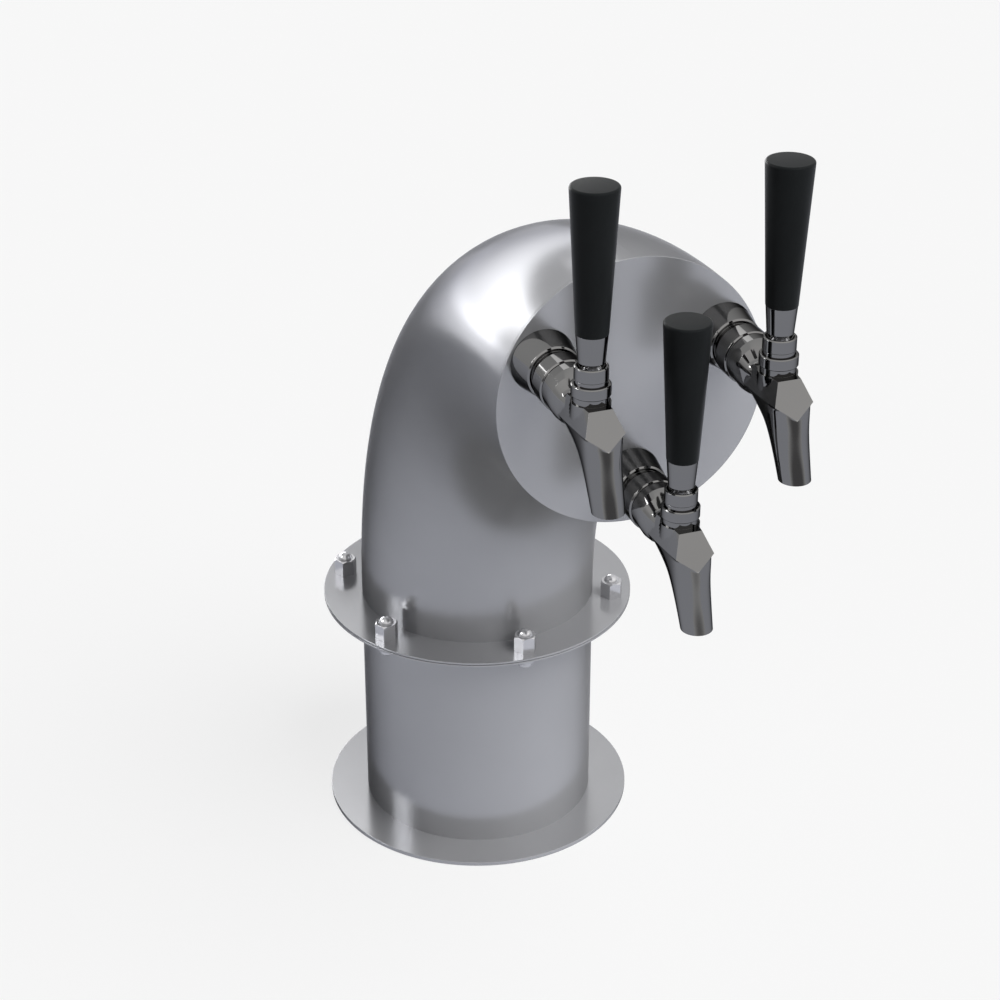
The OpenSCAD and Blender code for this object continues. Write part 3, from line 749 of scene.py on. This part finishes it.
@dataclass
class FaucetBody:
    """The cast and plated body of a tap, rebuilt smooth with a crisp, bare badge face.

    All sizes are in millimetres unless they say otherwise. s is the distance from the plate, and heights are from the
    shank's axis.

    Args:
        materials: Built materials by slot name.
        name: Which tap it is.
        thread_r: Radius of the thread inside the coupling nut.
        thread_back: Rear end of the thread.
        barrel_r: Radius of the barrel.
        barrel_back: Rear face of the barrel.
        barrel_lip: Chamfer of that face.
        barrel_end: Where the barrel starts to flatten.
        handle_s: Distance of the handle's axis from the plate.
        side: Half of the width between the flat sides.
        side_back: Rear end of the flat sides.
        deck: Height of the deck under the bonnet.
        deck_edge: Half width and s of the deck's edge behind the badge face.
        boss_r: Radius of the round boss.
        boss_foot: Height at which the boss starts, inside the chest.
        shoulder_r: Radius of the shoulder on the deck.
        shoulder_top: Height of the shoulder.
        neck_r: Radius of the neck, inside the bonnet.
        neck_top: Height of the neck.
        pocket_r: Radius of the pocket in which the lever's rod swings.
        pocket_foot: Height of the pocket's floor.
        pocket_top: Heights over the deck between which the pocket narrows.
        neck_bore_r: Radius of the bore through the neck.
        neck_bore_top: Height above the neck to which that bore's cutter reaches.
        chamber_r: Radius of the valve chamber that crosses the pocket.
        chamber_drop: Depth of the chamber's axis below the shank's.
        chamber_run: The chamber's two ends.
        badge_top: Half of the badge face's top edge.
        badge_top_s: Distance of the badge's top edge from the plate.
        badge_half: Half of the badge face's width at its side corners.
        badge_corner: Height of the side corners.
        badge_tip: Height of the tip.
        badge_lean: Lean of the badge face, in degrees.
        flank: Lower edge of the flat sides, with x from side.
        flank_back: The rear end of that edge.
        belly_flank: Lower side of the flanks, with x from side.
        belly_back: The rear end of the belly.
        belly_share: How far the belly's front lies from the ridge to the spout's upper cut.
        under_share: How far the cut below it lies from the belly to that upper cut.
        spout_upper: Level cut at the spout's top.
        spout_lower: Level cut halfway down.
        mouth: Level cut at the spout's mouth.
        bore: Radius of the spout's bore.
        bore_depth: Depth to which the bore is open.
        bore_lean: Lean of the bore, in degrees.
        swell: Growth of the spout's cuts, which makes up for the smoothing of the cage.
        smoothing: Number of times that the cage is divided.
        steps: Points round the boss and neck.
        bore_steps: Points round the pocket and chamber.
        edge: Width of the rounded edges, in metres.
        turn: Least turn of an edge that gets rounded, in degrees.
    """

    materials: dict[str, bpy.types.Material]
    name: TapName
    thread_r: float = 13.5
    thread_back: float = 35.0
    barrel_r: float = 15.6
    barrel_back: float = 38.9
    barrel_lip: float = 0.5
    barrel_end: float = 46.0
    handle_s: float = 72.1
    side: float = 12.6
    side_back: float = 60.5
    deck: float = 7.0
    deck_edge: tuple[Span, ...] = ((7.8, 78.0), (8.5, 69.0), (9.0, 60.0))
    boss_r: float = 11.3
    boss_foot: float = -8.0
    shoulder_r: float = 10.3
    shoulder_top: float = 10.75
    neck_r: float = 9.3
    neck_top: float = 14.0
    pocket_r: float = 9.1
    pocket_foot: float = -6.5
    pocket_top: Span = (1.5, 3.5)
    neck_bore_r: float = 7.6
    neck_bore_top: float = 15.0
    chamber_r: float = 6.3
    chamber_drop: float = 2.0
    chamber_run: Span = (49.0, 81.5)
    badge_top: float = 7.0
    badge_top_s: float = 86.5
    badge_half: float = 11.7
    badge_corner: float = -4.8
    badge_tip: float = -12.8
    badge_lean: float = 31.6
    flank: tuple[Point, ...] = ((-0.3, 82.0, -5.3), (0.0, 69.0, -5.9), (0.0, 55.0, -6.4))
    flank_back: Point = (0.0, 52.0, -7.0)
    belly_flank: tuple[Point, ...] = ((-0.6, 84.0, -8.6), (-0.8, 73.0, -11.4), (-3.6, 61.0, -13.9))
    belly_back: Point = (0.0, 57.0, -15.6)
    belly_share: float = 0.12
    under_share: float = 0.4
    spout_upper: Slice = Slice(z=-22.0, wide=10.8, middle=89.6, front=101.0, back=71.5)
    spout_lower: Slice = Slice(z=-35.0, wide=10.0, middle=94.7, front=104.7, back=82.5)
    mouth: Slice = Slice(z=-47.7, wide=9.3, middle=99.5, front=108.8, back=90.2)
    bore: float = 5.0
    bore_depth: float = 22.0
    bore_lean: float = 16.0
    swell: float = 1.047
    smoothing: int = 3
    steps: int = 72
    bore_steps: int = 48
    edge: float = 0.22 * MM
    turn: float = 14.0

    def badge_s(self, z: float) -> float:
        """Where the badge face lies at a height."""
        return self.badge_top_s + (self.deck - z) * math.tan(math.radians(self.badge_lean))

    def origin(self) -> Vector:
        """The shank's axis at the plate's front, in metres."""
        low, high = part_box(self.name.node("collar"))
        return Vector(((low[0] + high[0]) / 2, high[1], (low[2] + high[2]) / 2))

    def from_side(self, points: tuple[Point, ...]) -> list[Point]:
        """Points whose x is given from the flat side."""
        return [(self.side + x, s, z) for x, s, z in points]

    def ridge(self) -> list[Point]:
        """The edge under the badge and the cheeks.

        Returns:
            Its points, from the tip round one side to the back.
        """
        middle = (self.badge_tip + self.badge_corner) / 2
        badge = ((0.0, self.badge_tip), (self.badge_half / 2, middle), (self.badge_half, self.badge_corner))
        return [*((x, self.badge_s(z), z) for x, z in badge), *self.from_side(self.flank), self.flank_back]

    def belly(self, ridge: list[Point], upper: list[Point]) -> list[Point]:
        """The lower side of the flanks, in the order of the ridge."""
        front = toward(ridge[:3], upper, self.belly_share)
        return [*front, *self.from_side(self.belly_flank), self.belly_back]

    def bore_halves(self) -> tuple[list[Point], list[Point]]:
        """The two ends of the spout's bore.

        Returns:
            Half of the bore's edge at the mouth, and half of its upper end.
        """
        middle, rise = self.mouth.middle, self.bore_depth
        lean = math.tan(math.radians(self.bore_lean))
        lip = Slice(self.mouth.z, self.bore, middle, middle + self.bore, middle - self.bore).half(self.swell)
        return lip, [(x, s - rise * lean, z + rise) for x, s, z in lip]

    def head_cage(self) -> tuple[Shape, list[tuple[int, int]]]:
        """Build the cage of the head and spout.

        Returns:
            The cage, and its crisp edges as pairs of points.
        """
        shape = Shape()
        upper, lower, mouth = (cut.half(self.swell) for cut in (self.spout_upper, self.spout_lower, self.mouth))
        ridge = self.ridge()
        belly = self.belly(ridge, upper)
        under = toward(belly, upper, self.under_share)
        rings = [
            shape.ring(half + [(-x, s, z) for x, s, z in half[5:0:-1]])
            for half in (ridge, belly, under, upper, lower, mouth, *self.bore_halves())
        ]
        for low, high in zip(rings, rings[1:]):
            shape.strip(low, high)
        shape.faces.append(rings[-1])
        rim, lip = rings[0], rings[5:7]
        edge = ((self.badge_top, self.badge_top_s), *self.deck_edge)
        top = shape.ring([(sign * x, s, self.deck) for sign in (1, -1) for x, s in edge])
        right, left = top[:4], top[4:]
        shape.faces.append([right[0], left[0], rim[10], rim[11], rim[0], rim[1], rim[2]])
        shape.faces.append([*right[::-1], *left])
        shape.faces.append([rim[5], rim[6], rim[7], left[3], right[3]])
        for i in range(3):
            shape.faces.append([rim[i + 2], rim[i + 3], right[i + 1], right[i]])
            shape.faces.append([rim[9 - i], rim[10 - i], left[i], left[i + 1]])
        loops = [[*rim, rim[0]], [*right, *left[::-1], right[0]], *([*ring, ring[0]] for ring in lip)]
        loops += [[right[0], rim[2]], [left[0], rim[10]], [right[3], rim[5]], [left[3], rim[7]]]
        return shape, [(a, b) for loop in loops for a, b in zip(loop, loop[1:])]

    def smooth_head(self) -> bpy.types.Mesh:
        """Smooth the cage and keep its crisp edges.

        Returns:
            The mesh of the head and spout.
        """
        shape, crisp = self.head_cage()
        mesh = bpy.data.meshes.new("head_cage")
        mesh.from_pydata(shape.points, [], shape.faces)
        wanted = {frozenset(pair) for pair in crisp}
        crease = mesh.attributes.new("crease_edge", "FLOAT", "EDGE")
        for edge in mesh.edges:
            crease.data[edge.index].value = 1.0 if frozenset(edge.vertices) in wanted else 0.0
        corners = mesh.attributes.new("crease_vert", "FLOAT", "POINT")
        corners.data[0].value = 1.0
        cage = place_object("head_cage", mesh)
        smoother = cage.modifiers.new("smooth", "SUBSURF")
        smoother.levels = smoother.render_levels = self.smoothing
        smooth = applied(cage)
        bpy.data.objects.remove(cage)
        return smooth

    def chest(self) -> list[Cut]:
        """Lay out the thread, the barrel and the flat-sided chest.

        Returns:
            Cuts from the back. The last four lead from the round barrel into the flat sides and end inside the head.
        """
        r, thread, lip = self.barrel_r, self.thread_r, self.barrel_lip
        return [
            Cut(self.thread_back, thread, thread, -thread),
            Cut(self.barrel_back, thread, thread, -thread),
            Cut(self.barrel_back, r - lip, r - lip, lip - r),
            Cut(self.barrel_back + lip, r, r, -r),
            Cut(self.barrel_end, r, r, -r),
            Cut(self.barrel_end + 5.0, r - 0.9, r - 2.8, 0.4 - r, 0.82),
            Cut(self.side_back - 4.5, self.side + 0.2, self.deck + 1.8, -14.6, 0.72),
            Cut(self.side_back, self.side - 1.6, self.deck - 0.8, -13.4, 0.66),
            Cut(self.side_back + 6.0, self.side - 5.0, self.deck - 3.0, -10.0, 0.8),
        ]

    def turned(self, profile: tuple[Span, ...], steps: int) -> list[list[Point]]:
        """Rings round the handle's axis.

        Args:
            profile: Radius and height of each ring.
            steps: Points of each ring.

        Returns:
            The rings.
        """
        turns = [math.tau * step / steps for step in range(steps)]
        return [[(r * math.cos(a), self.handle_s + r * math.sin(a), z) for a in turns] for r, z in profile]

    def neck(self) -> list[list[Point]]:
        """Lay out the round boss, the shoulder and the neck under the bonnet.

        Returns:
            Rings from the boss up.
        """
        profile = (
            (self.boss_r, self.boss_foot),
            (self.boss_r, self.deck),
            (self.shoulder_r, self.deck),
            (self.shoulder_r, self.shoulder_top),
            (self.neck_r, self.shoulder_top),
            (self.neck_r, self.neck_top),
        )
        return self.turned(profile, self.steps)

    def pocket(self) -> Shape:
        """Build the cutter for the hollow of the body.

        Returns:
            The pocket and neck bore round the lever's rod, and the valve chamber that crosses them.
        """
        low, high = self.pocket_top
        profile = (
            (self.pocket_r, self.pocket_foot),
            (self.pocket_r, self.deck + low),
            (self.neck_bore_r, self.deck + high),
            (self.neck_bore_r, self.neck_bore_top),
        )
        shape = Shape()
        shape.loft(self.turned(profile, self.bore_steps))
        r, drop = self.chamber_r, self.chamber_drop
        turns = [math.tau * step / self.bore_steps for step in range(self.bore_steps)]
        shape.loft([[(r * math.cos(a), s, r * math.sin(a) - drop) for a in turns] for s in self.chamber_run])
        return shape

    def hollow(self, body: bpy.types.Object) -> None:
        """Cut the hollow out of the body, after its edges are rounded.

        Args:
            body: The body's object.
        """
        cutter = place_object("pocket", self.pocket().to_mesh("pocket", self.origin()))
        cut = body.modifiers.new("pocket", "BOOLEAN")
        cut.operation = "DIFFERENCE"
        cut.object = cutter
        cut.solver = "EXACT"
        cut.use_self = True
        whole = applied(body)
        body.modifiers.clear()
        body.data = whole
        bpy.data.objects.remove(cutter)

    def build(self) -> None:
        """Make the body in place of its CAD node."""
        node = self.name.node("faucet_body")
        shape = Shape()
        shape.loft([cut.outline() for cut in self.chest()])
        shape.loft(self.neck())
        shape.take(self.smooth_head())
        mesh = shape.to_mesh(f"{node}_smooth", self.origin())
        mesh.materials.append(self.materials["chrome_plate"])
        mesh.shade_smooth()
        body = place_object(f"{node}_smooth", mesh)
        round_edges(body, self.edge, self.turn)
        self.hollow(body)
        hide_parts(node)
        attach(body, "tower")
        log.info("rebuilt %s with %d faces", node, len(body.data.polygons))


@dataclass
class Tap:
    """One tap with its shank, lever, handle, valve and beer line.

    Args:
        dresser: Dresses the CAD nodes.
        name: Which tap it is.
        edge: Width of the rounded edges of its outer pieces, in metres.
        inner_edge: Width of the rounded edges of its inner pieces, in metres.
    """

    dresser: NodeDresser
    name: TapName
    edge: float = 0.2 * MM
    inner_edge: float = 0.1 * MM

    def build(self) -> None:
        """Dress the tap's nodes and rebuild its body."""
        for piece in ("collar", "coupling_nut", "bonnet", "lever_cap", "ferrule", "handle"):
            self.dresser.dress(self.name.node(piece), self.edge)
        FaucetBody(self.dresser.materials, self.name).build()
        for piece in ("shank", "lever", "valve_plunger", "plunger_seal", "tailpiece", "beer_line"):
            self.dresser.dress(self.name.node(piece), self.inner_edge)


def bearing(azimuth: float, elevation: float) -> Vector:
    """Direction away from the object.

    Args:
        azimuth: Bearing in degrees: 0 behind the object along +Y, 90 along +X.
        elevation: Height above the horizon, in degrees.

    Returns:
        A vector of length 1.
    """
    turn = math.radians(azimuth)
    rise = math.radians(elevation)
    return Vector((math.sin(turn) * math.cos(rise), math.cos(turn) * math.cos(rise), math.sin(rise)))


def facing(direction: Vector) -> tuple[float, float, float]:
    """Rotation of a lamp or camera that stands in a direction and looks back."""
    return tuple(direction.to_track_quat("Z", "Y").to_euler())


@dataclass(frozen=True)
class SoftBox:
    """A plain white soft box that faces the object and shows in its metal alone.

    Args:
        name: Name of the lamp.
        azimuth: Its bearing, in degrees.
        elevation: Its height above the horizon, in degrees.
        distance: Distance from the aim point, in metres.
        width: Width in metres.
        height: Height in metres.
        radiance: Brightness of its face, where 1 is white.
    """

    name: str
    azimuth: float
    elevation: float
    distance: float
    width: float
    height: float
    radiance: float

    def build(self, aim: Vector) -> None:
        """Make the lamp.

        Args:
            aim: The point that it faces, in metres.
        """
        away = bearing(self.azimuth, self.elevation)
        lamp = bpy.data.lights.new(self.name, "AREA")
        lamp.shape = "RECTANGLE"
        lamp.size = self.width
        lamp.size_y = self.height
        lamp.energy = self.radiance * math.pi * self.width * self.height
        box = place_object(self.name, lamp)
        box.location = aim + away * self.distance
        box.rotation_euler = facing(away)
        box.visible_camera = False
        box.visible_diffuse = False


SOFT_BOXES = (
    SoftBox("back_box", azimuth=-6.0, elevation=8.0, distance=4.5, width=4.0, height=2.0, radiance=7.4),
    SoftBox("low_box", azimuth=-12.0, elevation=-2.6, distance=2.2, width=1.6, height=0.4, radiance=5.0),
    SoftBox("top_box", azimuth=8.0, elevation=36.0, distance=4.5, width=1.3, height=1.3, radiance=1.8),
    SoftBox("left_box", azimuth=-72.0, elevation=34.0, distance=2.6, width=0.9, height=0.9, radiance=11.5),
)


@dataclass
class Studio:
    """Camera, pale floor, pale surroundings and soft lamps.

    Args:
        camera_place: Where the camera stands, in metres.
        camera_back: Direction from the object towards the camera.
        lens: Focal length in millimetres.
        sensor: Width of the sensor in millimetres.
        shift: Sideways shift of the lens.
        floor_half: Half of the floor's width, in metres.
        floor_drop: Depth of the floor under the object, in metres.
        floor_colour: Colour of the floor.
        floor_dull: Share of that colour in the floor's faint clouds.
        floor_clouds: Clouds per metre.
        floor_glow: Share of even white in what the camera and metal see of the floor.
        floor_white: That white as the camera sees it.
        floor_sheen: That white as metal shows it, a little blue.
        pale: Colour of the surroundings behind the object.
        front_low: Their colour low in front, where the room is dark.
        front_high: Their colour high in front.
        skyline: Heights between which the pale horizon in front turns dark.
        front_rise: Heights between which the front turns from low to high.
        turn_back: Positions along Y between which the surroundings turn from front to back.
        fill: Brightness of the surroundings' light on diffuse surfaces.
        sun_strength: Strength of the broad key light.
        sun_spread: Angular size of the key light, in degrees.
        sun_azimuth: Bearing of the key light, in degrees.
        sun_elevation: Height of the key light, in degrees.
        boxes: The soft boxes.
    """

    camera_place: Point = (-0.4976, -1.3952, 1.0200)
    camera_back: Point = (-0.3070, -0.8299, 0.4658)
    lens: float = 83.97
    sensor: float = 36.0
    shift: float = -0.001
    floor_half: float = 30.0
    floor_drop: float = 0.2 * MM
    floor_colour: Colour = (0.6, 0.6, 0.6)
    floor_dull: float = 0.985
    floor_clouds: float = 6.0
    floor_glow: float = 0.8
    floor_white: Colour = (0.99, 0.99, 0.99)
    floor_sheen: Colour = (0.93, 0.96, 1.07)
    pale: Colour = (0.95, 0.95, 0.95)
    front_low: Colour = (0.24, 0.235, 0.24)
    front_high: Colour = (1.43, 1.41, 1.39)
    skyline: Span = (0.0, 0.07)
    front_rise: Span = (0.15, 0.5)
    turn_back: Span = (-0.35, 0.25)
    fill: float = 0.12
    sun_strength: float = 4.2
    sun_spread: float = 50.0
    sun_azimuth: float = 145.0
    sun_elevation: float = 52.0
    boxes: tuple[SoftBox, ...] = SOFT_BOXES

    def build(self) -> None:
        """Make the whole studio."""
        bpy.context.scene.view_settings.view_transform = "Standard"
        self.build_camera()
        self.build_floor()
        self.build_world()
        self.build_lamps()

    def build_camera(self) -> None:
        """Set the camera at the photograph's view."""
        data = bpy.data.cameras.new("main_camera")
        data.lens = self.lens
        data.sensor_width = self.sensor
        data.shift_x = self.shift
        camera = place_object("main_camera", data)
        camera.location = self.camera_place
        camera.rotation_euler = facing(Vector(self.camera_back))
        bpy.context.scene.camera = camera

    def floor_material(self) -> bpy.types.Material:
        """Make the floor's finish. Its glow is for the camera and for metal, and lights nothing.

        Returns:
            The material.
        """
        material, graph = new_material("floor")
        cloud = graph.noise(graph.place(), self.floor_clouds, 2.0)
        soft = tuple(self.floor_dull * c for c in self.floor_colour)
        tone = graph.blend(cloud, soft, self.floor_colour)
        inputs = {"Base Color": tone, "Roughness": 1.0, "Specular IOR Level": 0.0}
        base = graph.add("ShaderNodeBsdfPrincipled", None, inputs)
        sheen = graph.add("ShaderNodeEmission", None, {"Color": self.floor_sheen})
        white = graph.add("ShaderNodeEmission", None, {"Color": self.floor_white})
        glow = graph.mix(graph.ray("Is Camera Ray"), sheen, white)
        graph.show(graph.mix(graph.seen() * self.floor_glow, base, glow))
        return material

    def build_floor(self) -> None:
        """Make the wide pale floor."""
        half, low = self.floor_half, -self.floor_drop
        corners = [(-half, -half, low), (half, -half, low), (half, half, low), (-half, half, low)]
        mesh = bpy.data.meshes.new("floor")
        mesh.from_pydata(corners, [], [(0, 1, 2, 3)])
        mesh.materials.append(self.floor_material())
        place_object("floor", mesh)

    def build_world(self) -> None:
        """Make surroundings that look pale to the camera and in metal, and fill the shadows softly."""
        world = bpy.data.worlds.new("studio")
        world.use_nodes = True
        bpy.context.scene.world = world
        graph = Graph(world.node_tree)
        vector = graph.add("ShaderNodeTexCoord").outputs["Generated"]
        way = graph.add("ShaderNodeSeparateXYZ", None, {"Vector": vector})
        up = Signal(graph, way.outputs["Z"])
        behind = Signal(graph, way.outputs["Y"])
        skyline = graph.blend(up.within(*self.skyline), self.pale, self.front_low)
        front = graph.blend(up.within(*self.front_rise), skyline, self.front_high)
        around = graph.blend(behind.within(*self.turn_back), front, self.pale)
        light = graph.blend(graph.seen(), (self.fill, self.fill, self.fill), around)
        shown = graph.blend(graph.ray("Is Camera Ray"), light, self.pale)
        background = graph.add("ShaderNodeBackground", None, {"Color": shown})
        graph.show(background, "ShaderNodeOutputWorld")

    def build_lamps(self) -> None:
        """Make the broad key light and the soft boxes."""
        sun = bpy.data.lights.new("key", "SUN")
        sun.energy = self.sun_strength
        sun.angle = math.radians(self.sun_spread)
        key = place_object("key", sun)
        key.rotation_euler = facing(bearing(self.sun_azimuth, self.sun_elevation))
        key.visible_glossy = False
        low, high = CAD_BOUNDS
        for box in self.boxes:
            box.build((low + high) / 2)


def main() -> None:
    """Build the scene."""
    materials = {finish.name: finish.build() for finish in FINISHES}
    dresser = NodeDresser(materials)
    Column(dresser).build()
    Fasteners(dresser).build()
    for name in TapName:
        Tap(dresser, name).build()
    Studio().build()


if __name__ == "__main__":
    main()
